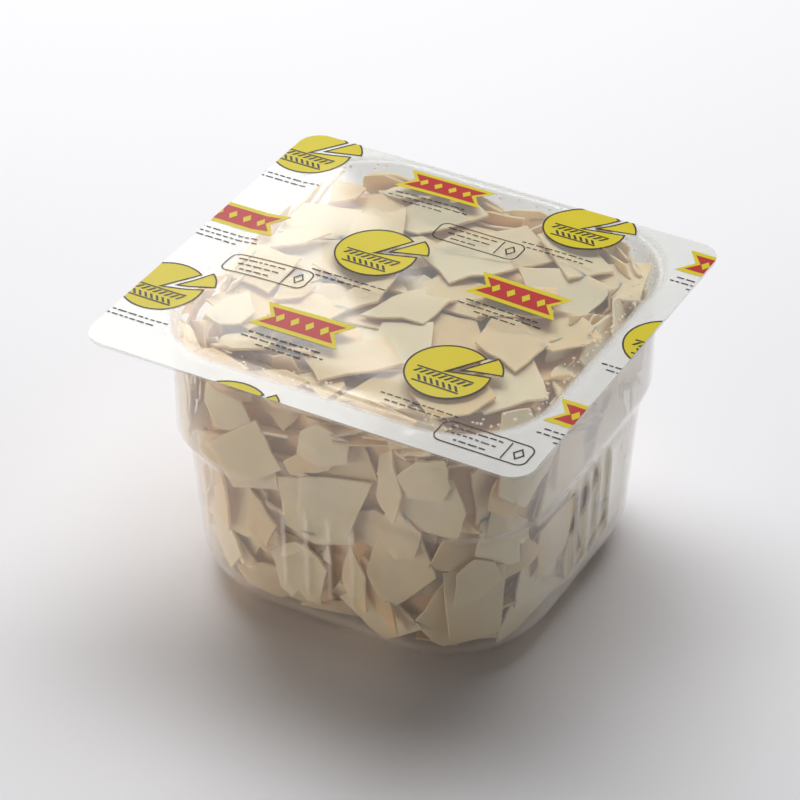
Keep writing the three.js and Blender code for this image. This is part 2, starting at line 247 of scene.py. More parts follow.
def clear_sheet(name, tint, veil_colour, veil, haze, rough, wave_mm, wave_height):
    """A clear plastic sheet: what lies behind shows straight through it, its two faces
    mirror more at a glancing angle, and a thin veil lies over all of it. The veil is a
    share, or the name of the attribute that holds it, and haze is what a slant adds."""
    material, tree = new_material(name)
    place = add_node(tree, "TexCoord").outputs["Object"]
    waves = add_node(tree, "TexNoise", None, {
        "Vector": place, "Scale": 1 / (wave_mm * MM), "Detail": 2.0})
    bump = add_node(tree, "Bump", None, {
        "Strength": 1.0, "Distance": wave_height * MM, "Height": waves.outputs[0]})
    normal = bump.outputs[0]
    if isinstance(veil, str):
        veil = add_node(tree, "Attribute", {"attribute_name": veil}).outputs["Fac"]
    clear = add_node(tree, "BsdfTransparent", None, {"Color": linear(tint)})
    milk = add_node(tree, "BsdfPrincipled", None, {
        "Base Color": linear(veil_colour), "Roughness": 0.6})
    facing = add_node(tree, "LayerWeight", None, {"Blend": 0.5, "Normal": normal}).outputs["Facing"]
    slant = add_node(tree, "Math", {"operation": "POWER"}, {0: facing, 1: HAZE_POWER}).outputs[0]
    veil = add_node(tree, "Math", {"operation": "MULTIPLY_ADD"}, {
        0: slant, 1: haze, 2: veil}).outputs[0]
    body = add_node(tree, "MixShader", None, {0: veil, 1: clear.outputs[0], 2: milk.outputs[0]})
    steep = add_node(tree, "Math", {"operation": "POWER"}, {0: facing, 1: MIRROR_POWER}).outputs[0]
    mirror = add_node(tree, "Math", {"operation": "MULTIPLY_ADD"}, {
        0: steep, 1: 1 - MIRROR_FACE_ON, 2: MIRROR_FACE_ON}).outputs[0]
    gloss = add_node(tree, "BsdfPrincipled", None, {
        "Base Color": linear("#ffffff"), "Metallic": 1.0, "Roughness": rough, "Normal": normal})
    face = add_node(tree, "MixShader", None, {0: mirror, 1: body.outputs[0], 2: gloss.outputs[0]})
    add_node(tree, "OutputMaterial", None, {"Surface": face.outputs[0]})
    return material


# clear PET, formed warm: glossy, faintly wavy, and with a thin haze that turns the walls
# milky where the look slants along them, most of all on the ribs and the step
tub.data.materials.clear()
tub.data.materials.append(clear_sheet(
    "clear_pet", "#f6f7f7", "#f6e9dc", veil=0.045, haze=0.3, rough=0.07, wave_mm=16.0,
    wave_height=0.08))
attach(tub, "root")
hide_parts("tray")

# ---- The lidding film ------------------------------------------------------------------
# A thin clear film, unrolled over the full tubs and heat-sealed on the flange, then cut
# with it. The flakes push it up a little, and it has small folds by its front right corner.

FILM_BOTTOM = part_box("lid_film")[0].z / MM
FILM_THICK = 0.14
FILM_CROWN = 2.6  # how far the flakes push it up in the middle
FILM_RIPPLE = 0.35
RIPPLE_LENGTHS = (11, 13, 17)
MOUTH_MARGIN = 2  # the film leaves the flange this far inside the mouth's edge
FILM_PITCH = 1.6
FILM_CORNER_CUTS = 7
FILM_CREASE = 40  # degrees past which an edge stays sharp
VEIL_CLEAR = 0.035
VEIL_SEALED = 0.4
VEIL_FADE = 3.0  # width over which the sealed band's milkiness ends
FOLD_WIDTH = 1.1
# folds by the front right corner: from where to where, in from that corner, and how high
FOLDS = (((47, 7), (17, 16), 0.35), ((17, 16), (9, 34), 0.35), ((6, 20), (4, 60), 0.175))


def ridge(x, y, start, end, width, height):
    """A small fold along a line, which runs out at both ends."""
    dx, dy = end[0] - start[0], end[1] - start[1]
    length = math.hypot(dx, dy)
    along = ((x - start[0]) * dx + (y - start[1]) * dy) / length
    aside = ((y - start[1]) * dx - (x - start[0]) * dy) / length
    t = np.clip(along / length, 0, 1)
    ends = np.clip(np.minimum(along, length - along) + width, 0, None)
    run_out = np.minimum(1, ends / (3 * width))
    return height * np.exp(-(aside / width) ** 2) * run_out * (0.6 + 0.4 * t)


def film_rise(x, y):
    """How far the flakes hold the film above its flange."""
    u = (x - TUB_X) / (RIM_HALF_X - MOUTH_MARGIN)
    v = (y - TUB_Y) / (RIM_HALF_Y - MOUTH_MARGIN)
    fall = np.maximum(0, 1 - u ** 4) * np.maximum(0, 1 - v ** 4)
    across, along, sway = RIPPLE_LENGTHS
    ripple = np.sin(x / across + np.sin(y / sway)) * np.sin(y / along + 0.6)
    return FILM_CROWN * fall + FILM_RIPPLE * ripple * fall


def film_folds(x, y):
    folds = 0
    for start, end, height in FOLDS:
        start, end = ((FLANGE_HALF_X - a, b - FLANGE_HALF_Y) for a, b in (start, end))
        folds = folds + ridge(x, y, start, end, FOLD_WIDTH, height)
    return folds


def film_height(x, y):
    return FILM_BOTTOM + film_rise(x, y) + film_folds(x, y)


def film_sheet(name, lift):
    """A fine grid in the film's trimmed shape, laid on the film's surface at a lift."""
    deselect_all()
    columns = round(2 * FLANGE_HALF_X / FILM_PITCH)
    rows = round(2 * FLANGE_HALF_Y / FILM_PITCH)
    bpy.ops.mesh.primitive_grid_add(x_subdivisions=columns, y_subdivisions=rows, size=2 * MM)
    piece = bpy.context.object
    piece.name = name
    bpy.ops.transform.resize(value=(FLANGE_HALF_X, FLANGE_HALF_Y, 1))
    bpy.ops.object.transform_apply(scale=True)
    bpy.ops.object.mode_set(mode="EDIT")
    for side_x in (-1, 1):
        for side_y in (-1, 1):
            for k in range(FILM_CORNER_CUTS):
                turn = math.pi / 2 * (k + 0.5) / FILM_CORNER_CUTS
                out = Vector((side_x * math.cos(turn), side_y * math.sin(turn), 0))
                middle = Vector((
                    side_x * (FLANGE_HALF_X - FLANGE_CORNER),
                    side_y * (FLANGE_HALF_Y - FLANGE_CORNER), 0))
                bpy.ops.mesh.select_all(action="SELECT")
                bpy.ops.mesh.bisect(
                    plane_co=(middle + out * FLANGE_CORNER) * MM, plane_no=out, clear_outer=True)
    bpy.ops.object.mode_set(mode="OBJECT")
    for vertex in piece.data.vertices:
        x, y = vertex.co.x / MM, vertex.co.y / MM
        vertex.co.z = (film_height(x, y) + lift) * MM
    return piece


def film_veil(x, y):
    """How milky the film is: nearly clear over the mouth, clouded on the sealed flange."""
    half_x, half_y, corner = RIM_HALF_X + 1, RIM_HALF_Y + 1, RIM_CORNER + 1
    past_x = abs(x - TUB_X) - (half_x - corner)
    past_y = abs(y - TUB_Y) - (half_y - corner)
    outside = math.hypot(max(past_x, 0), max(past_y, 0)) + min(max(past_x, past_y), 0) - corner
    return float(VEIL_CLEAR + (VEIL_SEALED - VEIL_CLEAR) * smooth_step(outside / VEIL_FADE))


film = film_sheet("film", FILM_THICK)
apply_modifier(film, "SOLIDIFY", thickness=FILM_THICK * MM, offset=-1)
bpy.ops.object.shade_smooth_by_angle(angle=math.radians(FILM_CREASE))
seal = film.data.attributes.new("seal", "FLOAT", "POINT")
for vertex, value in zip(film.data.vertices, seal.data):
    value.value = film_veil(vertex.co.x / MM, vertex.co.y / MM)
# clear polyester film: glossy, and milky where the heat of sealing clouded it
film.data.materials.append(clear_sheet(
    "clear_film", "#fafaf8", "#fbfbfa", veil="seal", haze=0.0, rough=0.12, wave_mm=26.0,
    wave_height=0.15))
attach(film, "root")
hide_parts("lid_film")

# ---- The flakes ------------------------------------------------------------------------
# Hard cheese shaved by a blade into thin angular flakes, poured in and shaken down until
# the tub is full. Many lie flat against the clear wall, some stand on edge in small stacks.

# the forms that flakes come in: how many kinds of each, their size, and how far stretched
BROAD_FORM = (15, 1.0, (0.82, 1.22))
SLIVER_FORM = (7, 0.62, (1.5, 1.9))
SHARD_FORM = (7, 0.62, (0.8, 1.3))
FLAKE_REACH = (12.5, 20.5)  # from a broad flake's middle to its corners
FLAKE_THICK = (0.8, 1.3)
FLAKE_RAGGED = 0.6  # how far its outline and face stray
RAGGED_PITCH = 6
FLAKE_CURL = 26.0  # degrees, either way
FLAKE_CUTS = 2
FLAKE_CREASE = 32  # degrees past which an edge stays sharp
# each pass: how many flakes, how far they tip in radians, how many tries each one has, and
# for wall and top where in the run of evenly spread places the pass starts
BROAD_WALL_PASSES = ((110, 0.08, 2, 0), (190, 0.22, 3, 1000))
SMALL_WALL_PASSES = ((260, 0.35, 4, 2000), (520, 0.9, 5, 3000))
BROAD_TOP_PASSES = ((60, 0.1, 2, 0), (120, 0.3, 3, 500))
SMALL_TOP_PASSES = ((150, 0.45, 4, 4000), (300, 0.9, 5, 5000))
BROAD_RIM_PASS = (60, 0.3, 4)
SMALL_RIM_PASS = (420, 0.25, 6)
BROAD_FLOOR_PASS = (70, 0.1, 4)
SMALL_FLOOR_PASS = (260, 0.5, 4)
WALL_FROM, WALL_SHORT = 5, 9  # where the wall's places start, and how much shorter they end
TOP_MARGIN = 4
BROAD_FLOOR_MARGIN = 22
SMALL_FLOOR_MARGIN = 10
RIM_SLANT = 0.2
STACKS = 26
STACK_OF = 5
STACK_STEP = 1.7
STACK_FROM, STACK_SHORT = 12, 34
STACK_ROLL = 0.7  # how far a stack leans along the wall
STACK_LEAN = 0.3  # and towards it
STACK_TIP, STACK_TRIES = 0.05, 3
CLEARANCE = 0.2  # from a flake to the tub or the film
CELL = 1.1  # the room is marked as taken in cells of this size
PINCH = 0.035  # the share of a flake that may press into its neighbours
DEEPEST = 13.0  # a flake that ends deeper than this would not show
START_DEPTH = 22.0  # a flake is pushed outward from this deep, a small step at a time
PUSH_STEP = 0.6
draw = random.Random(23)
noise.seed_set(23)


def flake_kind(number, size, stretches):
    """One shaved flake: a flat fan of four to six uneven corners, cut up finer, made
    ragged, curled and given its thickness."""
    corners = draw.choice((4, 4, 4, 5, 5, 6))
    deselect_all()
    bpy.ops.mesh.primitive_circle_add(vertices=corners, radius=MM, fill_type="TRIFAN")
    piece = bpy.context.object
    piece.name = f"flake_kind_{number}"
    stretch = draw.uniform(*stretches)
    swing = 0.45 / corners * math.pi
    for vertex in piece.data.vertices:
        if vertex.co.length > MM / 2:
            reach = draw.uniform(*FLAKE_REACH) * size
            corner = Matrix.Rotation(draw.uniform(-swing, swing), 3, "Z") @ vertex.co * reach
            vertex.co = (corner.x * stretch, corner.y / stretch, 0)
    bpy.ops.object.mode_set(mode="EDIT")
    bpy.ops.mesh.select_all(action="SELECT")
    bpy.ops.mesh.subdivide(number_cuts=FLAKE_CUTS)
    bpy.ops.object.mode_set(mode="OBJECT")
    for vertex in piece.data.vertices:
        spot = vertex.co / MM / RAGGED_PITCH + Vector((number * 7.3, 0, 0))
        vertex.co += noise.noise_vector(spot) * FLAKE_RAGGED * MM
    apply_modifier(
        piece, "SIMPLE_DEFORM", deform_method="BEND", deform_axis=draw.choice("XY"),
        angle=math.radians(draw.uniform(-FLAKE_CURL, FLAKE_CURL)))
    thin = piece.vertex_groups.new(name="thick")
    lean = Vector((draw.uniform(-1, 1), draw.uniform(-1, 1), 0)).normalized()
    for vertex in piece.data.vertices:
        share = 0.5 + 0.5 * vertex.co.dot(lean) / (FLAKE_REACH[1] * MM)
        thin.add([vertex.index], 0.55 + 0.45 * share, "REPLACE")
    apply_modifier(
        piece, "SOLIDIFY", thickness=draw.uniform(*FLAKE_THICK) * MM, offset=0,
        vertex_group="thick", thickness_vertex_group=0.5)
    middle = sum((v.co for v in piece.data.vertices), Vector()) / len(piece.data.vertices)
    piece.data.transform(Matrix.Translation(-middle))
    return piece


def surface_samples(mesh, steps):
    """Points spread over a mesh's faces in millimetres, so many steps to a triangle."""
    mesh.calc_loop_triangles()
    points = []
    for triangle in mesh.loop_triangles:
        a, b, c = (np.array(mesh.vertices[i].co) / MM for i in triangle.vertices)
        for i in range(steps + 1):
            for j in range(steps + 1 - i):
                points.append(a + (b - a) * i / steps + (c - a) * j / steps)
    return np.unique(np.round(np.array(points), 1), axis=0)


def room_depth(points):
    """How deep points lie inside the tub: the distance to its wall, floor or film."""
    x, y, z = points[..., 0], points[..., 1], points[..., 2]
    half_x, half_y, corner = tub_section(np.clip(z, SHEET, FLANGE_TOP), SHEET)
    past_x = np.abs(x - TUB_X) - (half_x - corner)
    past_y = np.abs(y - TUB_Y) - (half_y - corner)
    round_part = np.hypot(np.maximum(past_x, 0), np.maximum(past_y, 0))
    wall = corner - round_part - np.minimum(np.maximum(past_x, past_y), 0)
    under_film = FILM_BOTTOM + film_rise(x, y) - z
    return np.minimum(np.minimum(wall, z - SHEET), under_film)


kinds = []
for count, size, stretches in (BROAD_FORM, SLIVER_FORM, SHARD_FORM):
    kinds += [flake_kind(len(kinds) + k, size, stretches) for k in range(count)]
broad = range(BROAD_FORM[0])
small = range(BROAD_FORM[0], len(kinds))
fine_samples = [surface_samples(kind.data, 5) for kind in kinds]
coarse_samples = [surface_samples(kind.data, 1)[::2] for kind in kinds]
rim_samples = [np.array([v.co for v in kind.data.vertices]) / MM for kind in kinds]
room_low = np.array([TUB_X - RIM_HALF_X, TUB_Y - RIM_HALF_Y, 0])
room_size = np.array([2 * RIM_HALF_X, 2 * RIM_HALF_Y, FILM_BOTTOM + 4])
taken = np.zeros(np.ceil(room_size / CELL).astype(int) + 1, dtype=bool)


def cells(points):
    spot = np.floor((points - room_low) / CELL).astype(int)
    spot = np.clip(spot, 0, np.array(taken.shape) - 1)
    return spot[..., 0], spot[..., 1], spot[..., 2]


def settle(kind, turned, start, way):
    """Finds how far out a flake fits: short of the wall or the film, and with no more
    than a pinch of it in other flakes. Returns its place and how deep it then lies."""
    turn = np.array(turned).T
    steps = np.arange(0, START_DEPTH, PUSH_STEP)
    path = start + steps[:, None, None] * way
    free = taken[cells(coarse_samples[kind] @ turn + path)].mean(axis=1) < PINCH
    free &= room_depth(rim_samples[kind] @ turn + path).min(axis=1) > CLEARANCE
    if not free.any():
        return None
    place = path[np.flatnonzero(free)[-1], 0]
    return place, float(room_depth(place[None])[0])


def facing_turn(face, tip):
    """A turn that lays a flake's flat side square to a direction, then tips it."""
    spin = Matrix.Rotation(draw.uniform(0, 2 * math.pi), 3, "Z")
    lay = Vector((0, 0, 1)).rotation_difference(Vector(face)).to_matrix()
    axis = Vector((draw.uniform(-1, 1), draw.uniform(-1, 1), draw.uniform(-1, 1))).normalized()
    return Matrix.Rotation(draw.gauss(0, 1) * tip, 3, axis) @ lay @ spin


laid = []


def lay_flake(spot, way, face, tip, tries, forms):
    """Tries a few flakes at one place and keeps the one that gets nearest the outside."""
    best = None
    for _ in range(tries):
        kind = draw.choice(forms)
        turned = facing_turn(face, tip)
        found = settle(kind, turned, spot - START_DEPTH * way, way)
        if found and found[1] < DEEPEST and (best is None or found[1] < best[0]):
            best = (found[1], kind, turned, found[0])
    if best:
        _, kind, turned, place = best
        taken[cells(fine_samples[kind] @ np.array(turned).T + place)] = True
        laid.append((kind, turned, place))


def wall_spot(share, z):
    """A point on the tub's inner wall, a share of the way round, and its way out."""
    half_x, half_y, corner = (float(v) for v in tub_section(np.array(z), SHEET))
    angle = share * 2 * math.pi
    ray = np.array([math.cos(angle), math.sin(angle)])
    reach = np.linspace(20, 110, 900)
    inside = room_depth(np.column_stack([
        TUB_X + ray[0] * reach, TUB_Y + ray[1] * reach, np.full(len(reach), z)]))
    edge = reach[int(np.argmax(inside < 0.05))]
    spot = np.array([TUB_X + ray[0] * edge, TUB_Y + ray[1] * edge, z])
    nudge = 0.5
    slope = np.array([
        room_depth(spot + np.array([nudge, 0, 0])) - room_depth(spot - np.array([nudge, 0, 0])),
        room_depth(spot + np.array([0, nudge, 0])) - room_depth(spot - np.array([0, nudge, 0])), 0])
    way = -slope / np.linalg.norm(slope)
    if z < BASE_BEND:
        way = way + np.array([0, 0, -(BASE_BEND - z) / BASE_BEND])
        way = way / np.linalg.norm(way)
    return spot, way


# places are spread evenly by adding the same two odd shares again and again
SHARE_A, SHARE_B = 0.7548776662, 0.5698402910
UP = np.array([0.0, 0.0, 1.0])


def spread(k):
    return (k * SHARE_A) % 1, (k * SHARE_B) % 1


def level_spot(k, margin, z):
    share_x, share_y = spread(k)
    x = TUB_X + (2 * share_x - 1) * (RIM_HALF_X - margin)
    y = TUB_Y + (2 * share_y - 1) * (RIM_HALF_Y - margin)
    return np.array([x, y, z])


def lay_on_wall(forms, count, tip, tries, first):
    for k in range(first, first + count):
        share, rise = spread(k)
        spot, way = wall_spot(share, WALL_FROM + rise * (FLANGE_TOP - WALL_SHORT))
        lay_flake(spot, way, way, tip, tries, forms)


def lay_on_top(forms, count, tip, tries, first):
    for k in range(first, first + count):
        lay_flake(level_spot(k, TOP_MARGIN, FILM_BOTTOM), UP, UP, tip, tries, forms)


def lay_on_floor(forms, margin, count, tip, tries):
    for k in range(count):
        lay_flake(level_spot(k, margin, SHEET), -UP, -UP, tip, tries, forms)


def lay_at_rim(forms, count, tip, tries):
    """Flakes up in the corner between the wall and the film: by turns they lie flat
    under the film and stand along the wall."""
    for k in range(count):
        spot, out = wall_spot(spread(k)[0], FLANGE_TOP - LIP_RADIUS)
        way = (out + UP) / math.sqrt(2)
        face = UP + RIM_SLANT * out if k % 2 else out + RIM_SLANT * UP
        lay_flake(spot, way, face, tip, tries, forms)


# at each place broad flakes go first, and small ones fill the gaps they leave
lay_on_top(broad, *BROAD_TOP_PASSES[0])
lay_at_rim(broad, *BROAD_RIM_PASS)
lay_at_rim(small, *SMALL_RIM_PASS)
lay_on_wall(broad, *BROAD_WALL_PASSES[0])
for k in range(STACKS):
    # flakes that lie level on each other against the wall, seen on their edges
    share, rise = spread(k + 0.5)
    spot, way = wall_spot(share, STACK_FROM + rise * (FLANGE_TOP - STACK_SHORT))
    sideways = Vector((-way[1], way[0], 0)) * draw.uniform(-STACK_ROLL, STACK_ROLL)
    lean = Vector(way) * draw.uniform(-STACK_LEAN, STACK_LEAN)
    face = (Vector((0, 0, 1)) + sideways + lean).normalized()
    for layer in range(STACK_OF):
        foot = spot + STACK_STEP * layer * np.array(face)
        lay_flake(foot, way, face, STACK_TIP, STACK_TRIES, broad)
lay_on_wall(small, *SMALL_WALL_PASSES[0])
lay_on_wall(broad, *BROAD_WALL_PASSES[1])
lay_on_top(small, *SMALL_TOP_PASSES[0])
lay_on_top(broad, *BROAD_TOP_PASSES[1])
lay_on_wall(small, *SMALL_WALL_PASSES[1])
lay_on_floor(broad, BROAD_FLOOR_MARGIN, *BROAD_FLOOR_PASS)
lay_on_floor(small, SMALL_FLOOR_MARGIN, *SMALL_FLOOR_PASS)
lay_on_top(small, *SMALL_TOP_PASSES[1])


def placed_copy(kind, name, placing, tone_reach):
    """A copy of a kind with its own mesh, put in its place, with its own tone of cheese."""
    mesh = kind.data.copy()
    mesh.transform(placing)
    tone = mesh.attributes.new("tone", "FLOAT", "POINT")
    tone.data.foreach_set("value", [draw.random() * tone_reach] * len(mesh.vertices))
    piece = bpy.data.objects.new(name, mesh)
    bpy.context.collection.objects.link(piece)
    return piece


flakes = []
for number, (kind, turned, place) in enumerate(laid):
    placing = Matrix.Translation(Vector(place) * MM) @ turned.to_4x4()
    flakes.append(placed_copy(kinds[kind], f"flake_{number}", placing, 1))
for kind in kinds:
    bpy.data.objects.remove(kind)


def join_pieces(pieces, name):
    deselect_all()
    for piece in pieces:
        piece.select_set(True)
    bpy.context.view_layer.objects.active = pieces[0]
    bpy.ops.object.join()
    pieces[0].name = name
    return pieces[0]


heap = join_pieces(flakes, "flakes")
bpy.ops.object.shade_smooth_by_angle(angle=math.radians(FLAKE_CREASE))

MOTTLE_MM = 9.0  # size of the paler and darker patches
GRAIN_MM = 0.9  # coarser than the real grain, which is too fine to show
GRAIN_HEIGHT = 0.12
LIGHT_REACH = 2.5  # how far light spreads inside
TONE_SPREAD = 0.8  # how much of the way from light to dark flakes differ by
MOTTLE_SPREAD = 0.5
MOTTLE_SHIFT = -0.15


def hard_cheese(name, light, dark):
    """Aged hard cheese, shaved: ivory, a little see-through, with a fine grain."""
    material, tree = new_material(name)
    place = add_node(tree, "TexCoord").outputs["Object"]
    tone = add_node(tree, "Attribute", {"attribute_name": "tone"}).outputs["Fac"]
    mottle = add_node(tree, "TexNoise", None, {
        "Vector": place, "Scale": 1 / (MOTTLE_MM * MM), "Detail": 3.0})
    blend = add_node(tree, "Math", {"operation": "MULTIPLY_ADD"}, {
        0: mottle.outputs[0], 1: MOTTLE_SPREAD, 2: MOTTLE_SHIFT})
    blend = add_node(tree, "Math", {"operation": "MULTIPLY_ADD"}, {
        0: tone, 1: TONE_SPREAD, 2: blend.outputs[0]})
    colour = add_node(tree, "Mix", {"data_type": "RGBA"}, {
        0: blend.outputs[0], 6: linear(light), 7: linear(dark)})
    grain = add_node(tree, "TexNoise", None, {
        "Vector": place, "Scale": 1 / (GRAIN_MM * MM), "Detail": 4.0})
    bump = add_node(tree, "Bump", None, {
        "Strength": 0.5, "Distance": GRAIN_HEIGHT * MM, "Height": grain.outputs[0]})
    body = add_node(tree, "BsdfPrincipled", {"subsurface_method": "RANDOM_WALK"}, {
        "Base Color": colour.outputs[2], "Roughness": 0.55, "IOR": 1.45,
        "Normal": bump.outputs[0], "Subsurface Weight": 0.9,
        "Subsurface Radius": (1.0, 0.86, 0.68), "Subsurface Scale": LIGHT_REACH * MM})
    add_node(tree, "OutputMaterial", None, {"Surface": body.outputs[0]})
    return material


# aged hard cheese, freshly shaved: warm ivory that glows a little where it is thin
cheese = hard_cheese("aged_hard_cheese", "#fee8c9", "#f6cc9a")
heap.data.materials.clear()
heap.data.materials.append(cheese)
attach(heap, "root")
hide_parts("cheese_flakes")

# ---- The heap's core -------------------------------------------------------------------
# What fills the tub behind the flakes that show: more of the same, seen only as a warm
# dark between them.

CORE_INSET = 9.5  # from the tub's outside
CORE_UNDER_FILM = 8
CORE_RINGS = (20, 30, 60, 72)
core_heights = [CORE_INSET, *CORE_RINGS, FLANGE_TOP - CORE_UNDER_FILM]
core_rings = [outline(*tub_section(z, CORE_INSET), z) for z in core_heights]
core = extruded_shell("flake_core", core_rings)
deselect_all()
core.select_set(True)
bpy.context.view_layer.objects.active = core
bpy.ops.object.mode_set(mode="EDIT")
bpy.ops.mesh.select_all(action="DESELECT")
bpy.ops.mesh.select_non_manifold(extend=False)
bpy.ops.mesh.edge_face_add()
bpy.ops.object.mode_set(mode="OBJECT")
# the same cheese with painted shade: its colours are a shade browner than the flakes', standing in for
# the dark deeper in, where light reaches only through the flakes
core.data.materials.append(hard_cheese("cheese_painted_shade", "#f0cfa4", "#e2b888"))
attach(core, "root")
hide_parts("cheese_flakes")

# ---- Crumbs ----------------------------------------------------------------------------
# Dry grains of cheese that broke off the flakes and were caught under the film, along the
# mouth's edge. Most lie at the front and the right.

CRUMB_KINDS = 4
CRUMBS = 420
CRUMB_SIZE = (0.25, 0.85)
CRUMB_LUMPS = 0.5
CRUMB_FLAT = 0.6  # a grain's least width and its height, as shares of its length
CRUMB_STRAY = 6.0  # how far in from the edge a grain may lie
CRUMB_TONE = 0.3  # crumbs keep to the light end of the cheese's tones
FINE_ABOVE, FINE_SIZE = 0.7, 0.5  # three in ten are half the size
RIGHT_FROM, FRONT_FROM = 0.5, -0.3  # the wall's way out there
LEFT_BARE = 0.6  # the share of places at the back and the left that stay bare
FULL_TURN = 6.28


def crumb_kind(number):
    deselect_all()
    bpy.ops.mesh.primitive_ico_sphere_add(subdivisions=1, radius=MM)
    piece = bpy.context.object
    for vertex in piece.data.vertices:
        spot = vertex.co / MM * 1.3 + Vector((number * 5.1, 0, 0))
        vertex.co += noise.noise_vector(spot) * CRUMB_LUMPS * MM
    return piece


grains = [crumb_kind(number) for number in range(CRUMB_KINDS)]
crumb_pieces = []
for k in range(CRUMBS):
    share, rise = spread(k)
    spot, way = wall_spot(share, FLANGE_TOP - LIP_RADIUS - SHEET)
    near = way[0] > RIGHT_FROM or way[1] < FRONT_FROM
    if not near and draw.random() < LEFT_BARE:
        continue
    size = draw.uniform(*CRUMB_SIZE) * (1 if rise < FINE_ABOVE else FINE_SIZE)
    spot = spot - way * (size + CRUMB_STRAY * draw.random() ** 3)
    spot[2] = film_height(spot[0], spot[1]) - 0.7 * size - 0.1
    tumble = Matrix.Rotation(draw.uniform(0, FULL_TURN), 4, "X")
    turn = tumble @ Matrix.Rotation(draw.uniform(0, FULL_TURN), 4, "Z")
    flat = Matrix.Diagonal((size, size * draw.uniform(CRUMB_FLAT, 1), size * CRUMB_FLAT, 1))
    placing = Matrix.Translation(Vector(spot) * MM) @ flat @ turn
    crumb_pieces.append(placed_copy(grains[k % CRUMB_KINDS], f"crumb_{k}", placing, CRUMB_TONE))
for grain in grains:
    bpy.data.objects.remove(grain)
crumbs = join_pieces(crumb_pieces, "crumbs")
crumbs.data.materials.clear()
crumbs.data.materials.append(cheese)
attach(crumbs, "root")

# ---- The print -------------------------------------------------------------------------
# Three inks, printed on the film as a repeat that takes no notice of the pack, so it is
# cut wherever the film is: cheese wheels with a slice pulled out, ribbons, small framed
# marks and rows of fine dashes.

INK_THICK = 0.02
INK_STEP = 0.04  # from one ink's level to the next, so that they don't share a face
REPEAT_X = 58.0
REPEAT_Y = 53.0
REPEAT_AT = (-21.0, 14.0)
WHEEL_RADIUS = 15.5
WHEEL_TURN = 35  # degrees
WHEEL_LINE = (1.1, 0.65)  # how far in from the edge, and how wide
SLICE_TURN = 40
SLICE_PULL = 4.0
ARC_STEP = 10
BAR_HEIGHT = 0.7
WHEEL_BARS = ((22, -1.9), (18, -9.7))  # length, and place above the wheel's middle
STROKE = (1.1, 2.6)
STROKE_PITCH = 2.4
STROKE_ROWS = ((-3.9, 4, 0.9), (-7.7, 3, -0.9))  # place, strokes to each side, lean
RIBBON = (36.0, 14.5)
RIBBON_NOTCH = 5
RIBBON_EDGE = (6, 4.4)
INNER_NOTCH = 4
RIBBON_LOZENGE = (1.7, 2.8)
LOZENGE_PITCH = 6.0
FRAME = (35.0, 12.0)
FRAME_ROUND = 3.5
FRAME_LINE = 0.55
FRAME_DROP = 2  # the frames sit a little below the middle between four marks
DIVIDER = (0.5, 2.6, 8.5)  # width, how much shorter than the frame, place
FRAME_LOZENGE = (13.0, 2.2, 3.4)
LOZENGE_LINE = 0.6
DASH_HEIGHT = 0.65
DASH_GAP = 0.8
DASH_LENGTHS = (1.2, 3.8)
WHEEL_DASHES = ((-20.5, 30), (-23.3, 24))  # place, and length of the row
RIBBON_DASHES = ((-11.5, 30), (-14.3, 33), (-17.1, 18))
FRAME_DASHES = ((3.2, 20), (0.0, 17), (-3.2, 12))
FRAME_DASHES_AT = -4.0
CUTTER_DEPTH = 16.0


def plate(points):
    """A flat face through a few points, in millimetres."""
    bpy.ops.mesh.primitive_circle_add(vertices=len(points), radius=MM, fill_type="NGON")
    piece = bpy.context.object
    for vertex, (x, y) in zip(piece.data.vertices, points):
        vertex.co = Vector((x, y, 0)) * MM
    return piece


def round_corners(piece, radius):
    bpy.ops.object.mode_set(mode="EDIT")
    bpy.ops.mesh.select_all(action="SELECT")
    bpy.ops.mesh.bevel(offset=radius * MM, segments=5, affect="VERTICES")
    bpy.ops.object.mode_set(mode="OBJECT")
    return piece


def keep_band(piece, edge, width):
    """Leaves only a line of the given width, a little inside a plate's edge."""
    bpy.ops.object.mode_set(mode="EDIT")
    bpy.ops.mesh.select_all(action="SELECT")
    if edge:
        bpy.ops.mesh.inset(thickness=edge * MM, use_boundary=True)
        bpy.ops.mesh.select_all(action="INVERT")
        bpy.ops.mesh.delete(type="FACE")
        bpy.ops.mesh.select_all(action="SELECT")
    bpy.ops.mesh.inset(thickness=width * MM, use_boundary=True)
    bpy.ops.mesh.delete(type="FACE")
    bpy.ops.object.mode_set(mode="OBJECT")
    return piece


def arc(first, last, x):
    """Points round the wheel's edge from one angle to another, its middle moved along x."""
    turns = [math.radians(a) for a in range(first, last + 1, ARC_STEP)]
    return [(x + WHEEL_RADIUS * math.cos(a), WHEEL_RADIUS * math.sin(a)) for a in turns]


def wheel_parts():
    """The outlines of a wheel and of the slice that is pulled out of it."""
    half = SLICE_TURN // 2
    return arc(half, 360 - half, 0) + [(0, 0)], arc(-half, half, SLICE_PULL) + [(SLICE_PULL, 0)]


def box_points(width, height, x=0.0, y=0.0):
    return [(x - width / 2, y - height / 2), (x + width / 2, y - height / 2),
            (x + width / 2, y + height / 2), (x - width / 2, y + height / 2)]


def ribbon_points(width, height, notch):
    return [(-width / 2, -height / 2), (width / 2, -height / 2), (width / 2 - notch, 0),
            (width / 2, height / 2), (-width / 2, height / 2), (-width / 2 + notch, 0)]


def lozenge(x, half_width, half_height):
    return plate([(x - half_width, 0), (x, -half_height), (x + half_width, 0), (x, half_height)])


def stroke(x, y, lean):
    """A short upright stroke whose top leans to one side."""
    width, height = STROKE
    low, high = x - lean, x + lean
    return plate([(low - width / 2, y - height / 2), (low + width / 2, y - height / 2),
                  (high + width / 2, y + height / 2), (high - width / 2, y + height / 2)])


